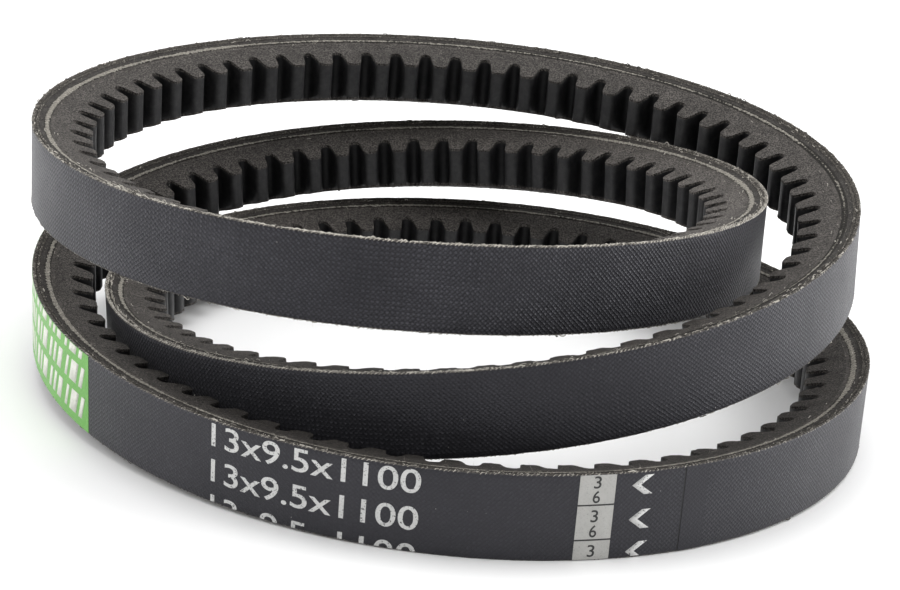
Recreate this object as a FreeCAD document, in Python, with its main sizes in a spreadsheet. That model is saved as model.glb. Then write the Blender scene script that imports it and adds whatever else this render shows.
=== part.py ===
"""Endless raw-edge V-belt with moulded cogs, coiled in three laps for storage.

The belt is one vulcanised laminate. From its back face inwards it has two plies of bias-woven
backing fabric, a cushion rubber, the tensile cord in its gum, an adhesion rubber and the
compression rubber that carries the cogs. A transfer label, a code panel and the raised lap of
the fabric splice lie on the back face.

Lengths are in millimetres and angles in degrees. +Z is up, +X is to the right and +Y is to the
back. The origin is on the ground, under the middle of the coil's bounding box.
"""
import FreeCAD, Part
import bisect
import math
import os

# --- Driving dimensions ---------------------------------------------------------------------

BELT_DIMENSIONS = {
    "belt_width": 13.0,            # across the back face
    "belt_thickness": 9.5,         # back face to the tips of the cogs
    "flank_angle": 18.0,           # of each flank, from the belt's middle plane
    "fabric_ply": 0.6,
    "cushion_thickness": 0.7,
    "cord_diameter": 1.0,
    "cord_pitch": 1.144,           # between neighbouring turns of the cord
    "adhesion_thickness": 0.6,
    "cog_count": 186,
    "notch_depth": 3.5,
    "notch_mouth": 3.3,            # gap between two cogs at their tips
    "notch_floor": 1.9,            # gap at the notch's root, before its corners are rounded
    "notch_root_radius": 1.05,
    "cog_corner_radius": 0.85,
    "first_notch": 4.0,            # along the cord line, from the left-hand side
}

LABEL_DIMENSIONS = {
    "film_thickness": 0.12,        # of the transfer label and the code panel
    "label_start": 331.5,          # along the cord line, as each start below
    "label_length": 50.0,
    "panel_start": 458.3,
    "panel_length": 5.0,
    "splice_start": 473.6,
    "splice_length": 3.6,
    "splice_thickness": 0.15,
}

# The coil winds anticlockwise from the left-hand side. Its back face lies at these radii and
# heights, four places to a lap, and the belt's curve passes smoothly through all of them.
SIDES = ("left", "front", "right", "back")
LAPS = ("first", "second", "third")
COIL_RADII = {
    "first": (58.0, 44.0, 58.0, 68.0),
    "second": (57.5, 58.5, 76.5, 62.5),
    "third": (45.5, 48.0, 73.0, 72.5),
}
COIL_HEIGHTS = {
    "first": (34.0, 33.0, 29.0, 20.0),
    "second": (11.0, 6.5, 7.0, 6.5),
    "third": (7.5, 15.0, 29.5, 35.5),
}
WINDING_CENTRE = {"winding_centre_x": -8.7, "winding_centre_y": -6.6, "winding_centre_z": 0.1}

PLACES_PER_LAP = 24                # where the belt's curve is worked out, for its smooth plies
POINTS_PER_COG = 12
PLY_SPANS = 12                     # each long face of a ply is divided into this many
LAP_ANGLE = 360.0
START_ANGLE = 180.0                # the left-hand side
ARC_STEPS_PER_DEGREE = 2


def make_sheet(doc):
    """Put every driving dimension in a spreadsheet, one row each, under its own alias."""
    sheet = doc.addObject("Spreadsheet::Sheet", "Dimensions")
    values = dict(BELT_DIMENSIONS)
    values.update(LABEL_DIMENSIONS)
    values.update(WINDING_CENTRE)
    for lap in LAPS:
        for side, radius, height in zip(SIDES, COIL_RADII[lap], COIL_HEIGHTS[lap]):
            values[f"{lap}_{side}_radius"] = radius
            values[f"{lap}_{side}_height"] = height
    for row, (alias, value) in enumerate(values.items(), start=1):
        sheet.set(f"A{row}", alias)
        sheet.set(f"B{row}", str(value))
        sheet.setAlias(f"B{row}", alias)
    doc.recompute()
    return sheet


# --- The belt's curve -----------------------------------------------------------------------

class Harmonics:
    """A smooth closed curve of one value, through evenly spaced places along the whole coil."""

    def __init__(self, values):
        count = len(values)
        self.terms = []
        for order in range(count // 2 + 1):
            paired = 0 < order < count / 2
            share = (2.0 if paired else 1.0) / count
            phases = [2 * math.pi * order * place / count for place in range(count)]
            cosine = share * sum(v * math.cos(p) for v, p in zip(values, phases))
            sine = share * sum(v * math.sin(p) for v, p in zip(values, phases))
            self.terms.append((order / len(LAPS), cosine, sine))

    def at(self, turned):
        """The value, and its first and second rates, where the coil has turned this far."""
        value = rate = second = 0.0
        for order, cosine, sine in self.terms:
            c = math.cos(order * turned)
            s = math.sin(order * turned)
            value += cosine * c + sine * s
            rate += order * (sine * c - cosine * s)
            second -= order * order * (cosine * c + sine * s)
        return value, rate, second


class Belt:
    """The belt's curve and its section, read from the sheet."""

    def __init__(self, sheet):
        self.sheet = sheet
        self.radius = Harmonics(self.read_coil("radius"))
        self.height = Harmonics(self.read_coil("height"))
        self.half_width = self.size("belt_width") / 2
        self.taper = math.tan(math.radians(self.size("flank_angle")))
        self.cord_depth = self.layer_depths()["cord"] + self.size("cord_diameter") / 2
        self.measure()

    def size(self, alias):
        return float(self.sheet.get(alias))

    def read_coil(self, quantity):
        return [self.size(f"{lap}_{side}_{quantity}") for lap in LAPS for side in SIDES]

    def layer_depths(self):
        """How far under the back face each layer starts."""
        ply = self.size("fabric_ply")
        cushion = 2 * ply
        cord = cushion + self.size("cushion_thickness")
        adhesion = cord + self.size("cord_diameter")
        compression = adhesion + self.size("adhesion_thickness")
        return {
            "outer": 0.0,
            "inner": ply,
            "cushion": cushion,
            "cord": cord,
            "adhesion": adhesion,
            "compression": compression,
        }

    def half_width_at(self, depth):
        return self.half_width - depth * self.taper

    def frame_at(self, angle):
        """The back face's middle, the direction across the belt and the way out of its back.

        The belt bends only across its thickness, so its width follows the curve's binormal.
        """
        turned = math.radians(angle - START_ANGLE)
        radius, radius_rate, radius_second = self.radius.at(turned)
        height, height_rate, height_second = self.height.at(turned)
        c = math.cos(math.radians(angle))
        s = math.sin(math.radians(angle))
        middle = FreeCAD.Vector(radius * c, radius * s, height)
        along = FreeCAD.Vector(
            radius_rate * c - radius * s,
            radius_rate * s + radius * c,
            height_rate,
        )
        bend = FreeCAD.Vector(
            (radius_second - radius) * c - 2 * radius_rate * s,
            (radius_second - radius) * s + 2 * radius_rate * c,
            height_second,
        )
        across = along.cross(bend).normalize()
        outward = along.normalize().cross(across)
        return middle, across, outward

    def point(self, angle, sideways, depth):
        """A point of the belt: sideways towards its upper edge, depth under its back face."""
        middle, across, outward = self.frame_at(angle)
        return middle + across * sideways - outward * depth

    def measure(self):
        """Measure the cord line, which keeps its length however the belt is bent."""
        steps = ARC_STEPS_PER_DEGREE * int(LAP_ANGLE) * len(LAPS)
        self.angles = [START_ANGLE + step / ARC_STEPS_PER_DEGREE for step in range(steps + 1)]
        points = [self.point(angle, 0.0, self.cord_depth) for angle in self.angles]
        self.lengths = [0.0]
        for before, after in zip(points, points[1:]):
            self.lengths.append(self.lengths[-1] + before.distanceToPoint(after))
        self.cord_length = self.lengths[-1]

    def angle_at(self, length):
        """The angle where the cord line has this length, however many times round."""
        rounds = math.floor(length / self.cord_length)
        rest = length - rounds * self.cord_length
        after = min(bisect.bisect_right(self.lengths, rest), len(self.lengths) - 1)
        start = self.lengths[after - 1]
        part = (rest - start) / (self.lengths[after] - start)
        angle = self.angles[after - 1] + part / ARC_STEPS_PER_DEGREE
        return angle + rounds * LAP_ANGLE * len(LAPS)


# --- Building solids along the curve --------------------------------------------------------

def closed_curves(points, spans):
    """One smooth closed curve through the points, which start again at the first, in spans."""
    curve = Part.BSplineCurve()
    count = len(points)
    curve.interpolate(Points=points, PeriodicFlag=True, Parameters=list(range(count + 1)))
    pieces = []
    for span in range(spans):
        piece = curve.copy()
        piece.segment(count * span / spans, count * (span + 1) / spans)
        pieces.append(piece)
    return pieces


def open_curve(points):
    """A smooth curve through the points."""
    curve = Part.BSplineCurve()
    curve.interpolate(Points=points, Parameters=list(range(len(points))))
    return curve


def ruled_face(curve, other):
    """The face of the straight lines between two curves that are divided in the same way."""
    surface = Part.BSplineSurface()
    surface.buildFromPolesMultsKnots(
        [curve.getPoles(), other.getPoles()],
        [2, 2],
        curve.getMultiplicities(),
        [0.0, 1.0],
        curve.getKnots(),
        False,
        False,
        1,
        curve.Degree,
    )
    return surface.toShape()


def corner_face(points):
    """The face between four corners, which need not lie in one plane."""
    surface = Part.BSplineSurface()
    rows = [[points[0], points[1]], [points[3], points[2]]]
    surface.buildFromPolesMultsKnots(
        rows, [2, 2], [2, 2], [0.0, 1.0], [0.0, 1.0], False, False, 1, 1
    )
    return surface.toShape()


def close_solid(faces):
    """Sew faces that share their edges into one solid that is the right way out."""
    shell = Part.makeShell(faces)
    shell.sewShape()
    solid = Part.makeSolid(shell)
    if solid.Volume < 0:
        solid.reverse()
    return solid


def ring_solid(corner_points, spans):
    """A closed ring: each corner of its section is a list of points all the way round."""
    corners = [closed_curves(points, spans) for points in corner_points]
    faces = []
    for here, following in zip(corners, corners[1:] + corners[:1]):
        faces += [ruled_face(a, b) for a, b in zip(here, following)]
    return close_solid(faces)


def strip_solid(corner_points):
    """A short strip: each of the four corners of its section is a list of points."""
    corners = [open_curve(points) for points in corner_points]
    faces = [ruled_face(a, b) for a, b in zip(corners, corners[1:] + corners[:1])]
    for end in (0, -1):
        faces.append(corner_face([points[end] for points in corner_points]))
    return close_solid(faces)


def smooth_ring(belt, section):
    """A ring whose section, a list of sideways and depth pairs, is the same all round."""
    places = PLACES_PER_LAP * len(LAPS)
    angles = [START_ANGLE + LAP_ANGLE * place / PLACES_PER_LAP for place in range(places)]
    corners = [[belt.point(angle, *corner) for angle in angles] for corner in section]
    return ring_solid(corners, PLY_SPANS)


def flank_corners(belt, depth):
    half = belt.half_width_at(depth)
    return [(-half, depth), (half, depth)]


# --- The pieces -----------------------------------------------------------------------------

def make_layer(belt, top, bottom):
    """A plain layer from one depth to another, out to both flanks."""
    section = flank_corners(belt, top) + flank_corners(belt, bottom)[::-1]
    return smooth_ring(belt, section)


def cord_section(belt, sideways):
    """The eight corners of a turn of the cord, cut off where it meets a flank."""
    radius = belt.size("cord_diameter") / 2
    flat = radius * math.tan(math.pi / 8)
    steps = [(-flat, -radius), (flat, -radius), (radius, -flat), (radius, flat)]
    steps += [(flat, radius), (-flat, radius), (-radius, flat), (-radius, -flat)]
    corners = [(sideways + across, belt.cord_depth + down) for across, down in steps]
    return cut_at_flanks(belt, corners)


def cut_at_flanks(belt, corners):
    """The part of a section between the flanks."""
    for side in (-1, 1):
        kept = []
        for here, following in zip(corners, corners[1:] + corners[:1]):
            room = belt.half_width_at(here[1]) - side * here[0]
            next_room = belt.half_width_at(following[1]) - side * following[0]
            if room >= 0:
                kept.append(here)
            if room * next_room < 0:
                part = room / (room - next_room)
                kept.append(tuple(a + (b - a) * part for a, b in zip(here, following)))
        corners = kept
    return corners


def cord_places(belt):
    """Where the turns of the cord lie across the belt. The outermost two are cut by the flanks."""
    pitch = belt.size("cord_pitch")
    turns_each_side = int(belt.half_width_at(belt.cord_depth) / pitch + 0.5)
    return [pitch * turn for turn in range(-turns_each_side, turns_each_side + 1)]


def make_cord(belt):
    """The tensile cord, one ring for each of its turns."""
    return Part.makeCompound([smooth_ring(belt, cord_section(belt, x)) for x in cord_places(belt)])


def make_gum(belt):
    """The gum between the turns of the cord, one ring for each gap."""
    radius = belt.size("cord_diameter") / 2
    flat = radius * math.tan(math.pi / 8)
    right_side = [(flat, radius), (radius, flat), (radius, -flat), (flat, -radius)]
    left_side = [(-across, down) for across, down in reversed(right_side)]
    rings = []
    places = cord_places(belt)
    for left, right in zip(places, places[1:]):
        corners = [(left + across, belt.cord_depth + down) for across, down in right_side]
        corners += [(right + across, belt.cord_depth + down) for across, down in left_side]
        rings.append(smooth_ring(belt, cut_at_flanks(belt, corners)))
    return Part.makeCompound(rings)


def cog_profile(belt):
    """One cog's outline, from a notch's middle to the next: lengths along the belt and depths.

    Half a notch has a flat floor, a rounded root, a slanted wall and a rounded tip. The corners
    are arcs, and the points are evenly spaced along the whole outline.
    """
    pitch = belt.cord_length / belt.size("cog_count")
    tip = belt.size("belt_thickness")
    root = tip - belt.size("notch_depth")
    floor_end = belt.size("notch_floor") / 2
    mouth_end = belt.size("notch_mouth") / 2
    slope = math.atan2(belt.size("notch_depth"), mouth_end - floor_end)
    half = [(0.0, root)]
    half += corner_arc((floor_end, root), 0.0, slope, belt.size("notch_root_radius"))
    half += corner_arc((mouth_end, tip), slope, 0.0, belt.size("cog_corner_radius"))
    half.append((pitch / 2, tip))
    outline = half + [(pitch - along, depth) for along, depth in reversed(half[:-1])]
    return even_points(outline, POINTS_PER_COG)


def corner_arc(corner, before, after, radius):
    """Points of the arc that rounds a corner between two directions, given in radians."""
    steps = 8
    turn = after - before
    setback = radius * math.tan(abs(turn) / 2)
    x = corner[0] - setback * math.cos(before)
    y = corner[1] - setback * math.sin(before)
    points = [(x, y)]
    for step in range(steps):
        heading = before + turn * (step + 0.5) / steps
        stride = 2 * radius * math.sin(abs(turn) / steps / 2)
        x += stride * math.cos(heading)
        y += stride * math.sin(heading)
        points.append((x, y))
    return points


def even_points(outline, count):
    """This many points, evenly spaced along an outline. The last is left to the next cog."""
    lengths = [0.0]
    for before, after in zip(outline, outline[1:]):
        lengths.append(lengths[-1] + math.dist(before, after))
    points = []
    for step in range(count):
        wanted = lengths[-1] * step / count
        after = bisect.bisect_right(lengths, wanted)
        part = (wanted - lengths[after - 1]) / (lengths[after] - lengths[after - 1])
        ends = zip(outline[after - 1], outline[after])
        points.append(tuple(a + (b - a) * part for a, b in ends))
    return points


def make_compression(belt):
    """The compression rubber: flat where it meets the adhesion rubber, cogged inside."""
    top = belt.layer_depths()["compression"]
    pitch = belt.cord_length / belt.size("cog_count")
    start = belt.size("first_notch")
    profile = cog_profile(belt)
    corners = [[], [], [], []]
    for cog in range(int(belt.size("cog_count"))):
        for along, depth in profile:
            angle = belt.angle_at(start + cog * pitch + along)
            middle, across, outward = belt.frame_at(angle)
            section = flank_corners(belt, top) + flank_corners(belt, depth)[::-1]
            for corner, (sideways, under) in zip(corners, section):
                corner.append(middle + across * sideways - outward * under)
    return ring_solid(corners, int(belt.size("cog_count")))


def make_film(belt, name, thickness):
    """A film on the back face, across its full width, from its start along its length."""
    steps = 12
    corners = [[], [], [], []]
    for step in range(steps + 1):
        along = belt.size(f"{name}_start") + belt.size(f"{name}_length") * step / steps
        angle = belt.angle_at(along)
        corners[0].append(belt.point(angle, -belt.half_width, 0.0))
        corners[1].append(belt.point(angle, belt.half_width, 0.0))
        corners[2].append(belt.point(angle, belt.half_width, -thickness))
        corners[3].append(belt.point(angle, -belt.half_width, -thickness))
    return strip_solid(corners)


def make_pieces(belt):
    """Every piece's name and shape, from the back face inwards."""
    depths = belt.layer_depths()
    film = belt.size("film_thickness")
    return {
        "outer_backing_fabric": make_layer(belt, depths["outer"], depths["inner"]),
        "inner_backing_fabric": make_layer(belt, depths["inner"], depths["cushion"]),
        "cushion_rubber": make_layer(belt, depths["cushion"], depths["cord"]),
        "tensile_cord": make_cord(belt),
        "cord_gum": make_gum(belt),
        "adhesion_rubber": make_layer(belt, depths["adhesion"], depths["compression"]),
        "compression_rubber": make_compression(belt),
        "transfer_label": make_film(belt, "label", film),
        "code_panel": make_film(belt, "panel", film),
        "fabric_splice": make_film(belt, "splice", belt.size("splice_thickness")),
    }


def add_piece(doc, sheet, name, shape):
    """Add a piece to the document. Its place is bound to the sheet."""
    piece = doc.addObject("Part::Feature", name)
    piece.Label = name
    piece.Shape = shape
    piece.Placement = FreeCAD.Placement()
    for axis in ("x", "y", "z"):
        piece.setExpression(f"Placement.Base.{axis}", f"{sheet.Name}.winding_centre_{axis}")
    return piece


def check_piece(piece):
    """Stop if a piece failed or isn't made of valid solids."""
    failed = [state for state in piece.State if state in ("Invalid", "Error")]
    if failed or piece.Shape.isNull() or not piece.Shape.isValid():
        raise RuntimeError(f"{piece.Label} is not a valid shape: {piece.State}")


def main():
    doc = FreeCAD.newDocument("v_belt")
    sheet = make_sheet(doc)
    belt = Belt(sheet)
    shapes = make_pieces(belt)
    pieces = [add_piece(doc, sheet, name, shape) for name, shape in shapes.items()]
    doc.recompute()
    for piece in pieces:
        check_piece(piece)
    os.makedirs("parts", exist_ok=True)
    for piece in pieces:
        piece.Shape.exportStep(os.path.join("parts", f"{piece.Label}.step"))
        box = piece.Shape.optimalBoundingBox()
        print(f"{piece.Label}: {piece.Shape.Volume:.0f} mm3, box {box}")
    print(f"cord line {belt.cord_length:.1f} mm")
    print(f"cog pitch {belt.cord_length / belt.size('cog_count'):.3f} mm")


main()
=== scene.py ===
"""The looks of an endless raw-edge V-belt with moulded cogs, coiled in three laps.

Every visible piece is built in belt coordinates, in millimetres: u runs along the cord line from
the coil's left-hand side, s runs across the belt towards its upper edge, and d is the depth under
the back face. The belt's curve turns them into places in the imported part's frame.
"""

import math

import bmesh
import bpy
import numpy as np
from mathutils import Matrix, Vector


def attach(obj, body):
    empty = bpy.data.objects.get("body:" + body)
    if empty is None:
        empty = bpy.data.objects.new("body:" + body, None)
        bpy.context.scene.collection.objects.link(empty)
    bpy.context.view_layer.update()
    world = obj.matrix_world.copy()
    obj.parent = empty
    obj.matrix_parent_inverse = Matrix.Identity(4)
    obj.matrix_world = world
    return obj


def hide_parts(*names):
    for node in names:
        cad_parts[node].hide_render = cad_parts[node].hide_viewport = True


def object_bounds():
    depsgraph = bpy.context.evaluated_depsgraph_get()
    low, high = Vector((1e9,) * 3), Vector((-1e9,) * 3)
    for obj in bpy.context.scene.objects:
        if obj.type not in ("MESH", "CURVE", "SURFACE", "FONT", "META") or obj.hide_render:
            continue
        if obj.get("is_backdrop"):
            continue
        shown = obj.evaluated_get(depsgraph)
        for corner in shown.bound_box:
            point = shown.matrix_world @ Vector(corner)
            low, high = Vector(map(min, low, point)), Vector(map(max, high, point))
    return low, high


MM = 0.001

# --- The belt, as in the CAD ---

BELT_WIDTH = 13.0
BELT_THICKNESS = 9.5
FLANK_ANGLE = 18.0
TAPER = math.tan(math.radians(FLANK_ANGLE))
HALF_WIDTH = BELT_WIDTH / 2
PLY = 0.6
CUSHION_TOP = 2 * PLY
CORD_TOP = CUSHION_TOP + 0.7
CORD_DIAMETER = 1.0
ADHESION_TOP = CORD_TOP + CORD_DIAMETER
COMPRESSION_TOP = ADHESION_TOP + 0.6
CORD_DEPTH = CORD_TOP + CORD_DIAMETER / 2
COG_COUNT = 186
FIRST_NOTCH = 4.0
NOTCH_DEPTH = 3.5
NOTCH_MOUTH = 3.3
NOTCH_FLOOR = 1.9
NOTCH_ROOT_RADIUS = 1.05
COG_CORNER_RADIUS = 0.85

LABEL_START, LABEL_LENGTH = 331.5, 50.0
PANEL_START, PANEL_LENGTH = 458.3, 5.0
SPLICE_START, SPLICE_LENGTH = 473.6, 3.6

# The marks that aren't in the CAD. A film's foot goes this deep into the fabric.
FILM_FOOT = 0.05
INK_TOP = -0.035
INK_STEP = 0.8
INK_BOLD = 0.006
LABEL_ROWS = ((4.9, 6.3), (0.1, 3.7), (-4.9, -1.2))
LABEL_MARGIN = 2.0
LABEL_SLANT = 0.28
PANEL_LINES = (1.9, -3.4)
PANEL_DIGITS = (("3", 4.4), ("6", 2.2), ("3", -0.7), ("6", -3.0), ("3", -6.0))
PANEL_DIGIT_HEIGHT = 1.85
SIZE_TEXT = "13x9.5x1100"
SIZE_START, SIZE_END = 407.3, 437.5
SIZE_BASES = (2.45, -3.2, -8.9)
SIZE_HEIGHT = 3.65
ARROW_START = 466.2
ARROW_HEIGHT, ARROW_WIDTH, ARROW_BAR = 2.9, 2.5, 1.25
# Each arrow's middle, and how much of its lower arm there is.
ARROWS = ((4.5, 1.0), (-0.7, 1.0), (-5.6, 0.5))
CREASE_START, CREASE_END = 22.6, 22.72

# How the meshes are divided, and the spacing of the threads along the edges.
RING_ROWS = 2196
SHARP_ANGLE = 40.0
THREAD_SPACING = 0.3
EDGE_SPACING = 0.6
PLY_RELIEF = 0.05

# The studio, in metres.
FLOOR_SIZE = 40.0
CAMERA_AIM = (-0.0087, -0.0066, 0.0204)
CAMERA_DISTANCE = 0.345
CAMERA_ELEVATION = 19.0
CAMERA_ROLL = 4.0
# From the first direction along y to the second, the surround's strength goes from the third
# number to the fourth.
SURROUND = (-0.7, 0.4, 0.45, 0.95)
# Each light's name, place, aim, size and power.
LIGHTS = (
    ("top", (0.0, 0.15, 0.9), (0, 0, 0), 0.9, 5.0),
    ("left", (-0.8, 0.1, 0.35), (0, 0, 0.02), 0.7, 4.4),
    ("right", (0.8, 0.1, 0.35), (0, 0, 0.02), 0.7, 5.8),
)

# The coil: how far the back face's middle is from the winding centre, and how high above it, at
# the left, front, right and back of each lap.
LAPS = 3
FULL_TURN = 2 * np.pi * LAPS
START_ANGLE = math.pi
COIL_RADII = (
    (58.0, 44.0, 58.0, 68.0),
    (57.5, 58.5, 76.5, 62.5),
    (45.5, 48.0, 73.0, 72.5),
)
COIL_HEIGHTS = (
    (34.0, 33.0, 29.0, 20.0),
    (11.0, 6.5, 7.0, 6.5),
    (7.5, 15.0, 29.5, 35.5),
)
WINDING_CENTRE = np.array([-8.7, -6.6, 0.1])

# The belt's state at those same places, from 0 to 1: how much of the cord shows, how frayed the
# edges are, how many threads lie loose, how plainly the weave shows and how pale the flanks are.
CORD_SHOWS = ((0.9, 0.55, 0.85, 0.5), (0.8, 0.6, 0.8, 0.45), (0.55, 0.4, 0.25, 0.5))
EDGE_FRAYS = ((0.4, 1.0, 0.85, 0.3), (0.4, 0.55, 0.4, 0.25), (1.0, 0.85, 0.3, 0.25))
LOOSE_THREADS = ((0.25, 1.0, 0.12, 0.02), (0.06, 0.06, 0.04, 0.02), (0.1, 0.4, 0.25, 0.02))
WEAVE_SHOWS = ((0.55, 1.0, 0.9, 0.55), (0.35, 0.25, 0.3, 0.5), (0.45, 0.45, 0.4, 0.5))
FLANK_PALES = ((0.6, 0.45, 0.9, 0.5), (0.5, 0.25, 0.4, 0.5), (0.5, 0.4, 0.6, 0.42))
# Which of the weave's two threads stands out there. At 0 neither is favoured.
WEAVE_LEANS = ((-0.3, -0.2, 0.25, 0.0), (-0.1, 0.0, 0.0, 0.0), (-0.25, -0.2, 0.0, 0.0))


def harmonics(values):
    """The terms of the smooth closed curve of one value through evenly spaced places."""
    values = np.array(values).ravel()
    count = len(values)
    phases = 2 * np.pi * np.arange(count) / count
    terms = []
    for order in range(count // 2 + 1):
        share = (2.0 if 0 < order < count / 2 else 1.0) / count
        cosine = share * np.sum(values * np.cos(order * phases))
        sine = share * np.sum(values * np.sin(order * phases))
        terms.append((order / LAPS, cosine, sine))
    return terms


def follow(terms, turned):
    """The value and its first and second rates at these turned angles."""
    value = np.zeros_like(turned)
    rate = np.zeros_like(turned)
    second = np.zeros_like(turned)
    for order, cosine, sine in terms:
        c = np.cos(order * turned)
        s = np.sin(order * turned)
        value += cosine * c + sine * s
        rate += order * (sine * c - cosine * s)
        second -= order * order * (cosine * c + sine * s)
    return value, rate, second


RADIUS = harmonics(COIL_RADII)
HEIGHT = harmonics(COIL_HEIGHTS)


def frames_at(turned):
    """The back face's middle, the way across and the way out, at these turned angles."""
    radius, radius_rate, radius_second = follow(RADIUS, turned)
    height, height_rate, height_second = follow(HEIGHT, turned)
    c = np.cos(turned + START_ANGLE)
    s = np.sin(turned + START_ANGLE)
    middle = np.stack([radius * c, radius * s, height], axis=-1)
    along = [radius_rate * c - radius * s, radius_rate * s + radius * c, height_rate]
    along = np.stack(along, axis=-1)
    pull = radius_second - radius
    bend = [pull * c - 2 * radius_rate * s, pull * s + 2 * radius_rate * c, height_second]
    across = np.cross(along, np.stack(bend, axis=-1))
    across /= np.linalg.norm(across, axis=-1, keepdims=True)
    along /= np.linalg.norm(along, axis=-1, keepdims=True)
    return middle + WINDING_CENTRE, across, np.cross(along, across)


def cord_table():
    """Turned angles and the cord line's length at each."""
    turned = np.linspace(0.0, FULL_TURN, 1440 * LAPS + 1)
    middle, _, outward = frames_at(turned)
    points = middle - outward * CORD_DEPTH
    steps = np.linalg.norm(np.diff(points, axis=0), axis=1)
    return turned, np.concatenate([[0.0], np.cumsum(steps)])


TURNED, LENGTHS = cord_table()
CORD_LENGTH = LENGTHS[-1]
PITCH = CORD_LENGTH / COG_COUNT


def turned_at(u):
    """The turned angle at these lengths, however often they go round the belt."""
    rounds = np.floor(u / CORD_LENGTH)
    part = np.interp(u - rounds * CORD_LENGTH, LENGTHS, TURNED)
    return part + rounds * FULL_TURN


def place(belt):
    """Places in the frame, in metres, of belt coordinates (u, s, d) in millimetres."""
    middle, across, outward = frames_at(turned_at(belt[..., 0]))
    return (middle + across * belt[..., 1:2] - outward * belt[..., 2:]) * MM


def half_width(d):
    """Half the belt's width at this depth, between its tapered flanks."""
    return HALF_WIDTH - d * TAPER


def along_coil(table, u):
    """A value given at the coil's places, at these lengths."""
    values = np.array(table).ravel()
    count = len(values)
    where = turned_at(u) / FULL_TURN * count
    return np.interp(where % count, np.arange(count + 1), np.append(values, values[0]))


# --- Seeded randomness ---

def lattice_noise(u, s, size_u, size_s, seed):
    """Smooth noise from -1 to 1 with grains of this size, which joins up round the belt."""
    count = max(4, int(round(CORD_LENGTH / size_u)))
    rows = 97
    grid = np.random.default_rng(seed).uniform(-1.0, 1.0, (count, rows))
    x = (u / CORD_LENGTH * count) % count
    y = (s / size_s) % rows
    i = np.floor(x).astype(int) % count
    j = np.floor(y).astype(int) % rows
    fx = x - np.floor(x)
    fy = y - np.floor(y)
    fx = fx * fx * (3 - 2 * fx)
    fy = fy * fy * (3 - 2 * fy)
    next_i = (i + 1) % count
    next_j = (j + 1) % rows
    low = grid[i, j] * (1 - fx) + grid[next_i, j] * fx
    high = grid[i, next_j] * (1 - fx) + grid[next_i, next_j] * fx
    return low * (1 - fy) + high * fy


def patches(u, grain, seed):
    """Smooth noise along the belt alone, from 0 to 1."""
    return 0.5 + 0.5 * lattice_noise(u, 0 * u, grain, 1.0, seed)


def chance(rng, count):
    """A random number from 0 to 1 for each of this many."""
    return rng.uniform(0.0, 1.0, count)


def spaced(rng, count, shake):
    """Lengths all round the belt, evenly spaced and then shaken by a share of the spacing."""
    return (np.arange(count) + rng.uniform(-shake, shake, count)) * CORD_LENGTH / count


# --- Meshes in belt coordinates ---

def fill_mesh(mesh, points, faces):
    """Put quads into a mesh."""
    faces = np.asarray(faces, dtype=np.int32)
    corners = faces.shape[1]
    mesh.vertices.add(len(points))
    mesh.vertices.foreach_set("co", np.asarray(points, dtype=np.float32).ravel())
    mesh.loops.add(faces.size)
    mesh.loops.foreach_set("vertex_index", faces.ravel())
    mesh.polygons.add(len(faces))
    mesh.polygons.foreach_set("loop_start", np.arange(0, faces.size, corners, dtype=np.int32))
    mesh.update(calc_edges=True)


def add_belt_places(mesh, values):
    """Give each corner of each face its belt coordinates, for the materials."""
    attribute = mesh.attributes.new("belt", "FLOAT_VECTOR", "CORNER")
    attribute.data.foreach_set("vector", np.asarray(values, dtype=np.float32).ravel())


def add_point_value(mesh, name, values):
    """Give each point a number under this name, for the materials."""
    attribute = mesh.attributes.new(name, "FLOAT", "POINT")
    attribute.data.foreach_set("value", np.asarray(values, dtype=np.float32).ravel())


def add_object(name, data):
    """Put a mesh, a light or a camera into the scene."""
    thing = bpy.data.objects.new(name, data)
    bpy.context.scene.collection.objects.link(thing)
    return thing


def make_object(name, mesh, material):
    """Put a mesh with its one material into the scene."""
    mesh.materials.append(material)
    return add_object(name, mesh)


def grid_faces(rows, columns, closed_rows, closed_columns):
    """The quads of a grid, as indices of its points row by row."""
    i = np.arange(rows if closed_rows else rows - 1)
    j = np.arange(columns if closed_columns else columns - 1)
    i, j = np.meshgrid(i, j, indexing="ij")
    i = i.ravel()
    j = j.ravel()
    next_i = (i + 1) % rows
    next_j = (j + 1) % columns
    quad = ((i, j), (i, next_j), (next_i, next_j), (next_i, j))
    return np.stack([row * columns + column for row, column in quad], axis=-1)


def ring(name, u, s, d, material, values=None, sharp=SHARP_ANGLE):
    """A closed ring. s and d give the section at each u, one row each, point by point."""
    rows, columns = s.shape
    grid_u = np.repeat(u[:, None], columns, axis=1)
    points = place_rows(u, s, d)
    faces = grid_faces(rows, columns, True, True)
    mesh = bpy.data.meshes.new(name)
    fill_mesh(mesh, points.reshape(-1, 3), faces)
    flat = np.stack([grid_u, s, d], axis=-1).reshape(-1, 3)
    corners = flat[faces]
    last = faces[:, :1] // columns == rows - 1
    wrapped = last & (corners[:, :, 0] < CORD_LENGTH / 2)
    corners[:, :, 0] += np.where(wrapped, CORD_LENGTH, 0.0)
    add_belt_places(mesh, corners)
    for key, value in (values or {}).items():
        add_point_value(mesh, key, np.broadcast_to(value, s.shape).ravel())
    finish_mesh(mesh, sharp)
    return make_object(name, mesh, material)


def place_rows(u, s, d):
    """As place(), with one curve place for each row."""
    middle, across, outward = frames_at(turned_at(u))
    points = middle[:, None, :] + across[:, None, :] * s[..., None]
    return (points - outward[:, None, :] * d[..., None]) * MM


def smooth(mesh):
    """Shade every face smooth."""
    mesh.polygons.foreach_set("use_smooth", np.ones(len(mesh.polygons), dtype=bool))


def finish_mesh(mesh, sharp):
    """Shade a mesh smooth, except over edges sharper than this many degrees."""
    smooth(mesh)
    mesh.set_sharp_from_angle(angle=math.radians(sharp))
    mesh.validate()
    mesh.update()


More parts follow.
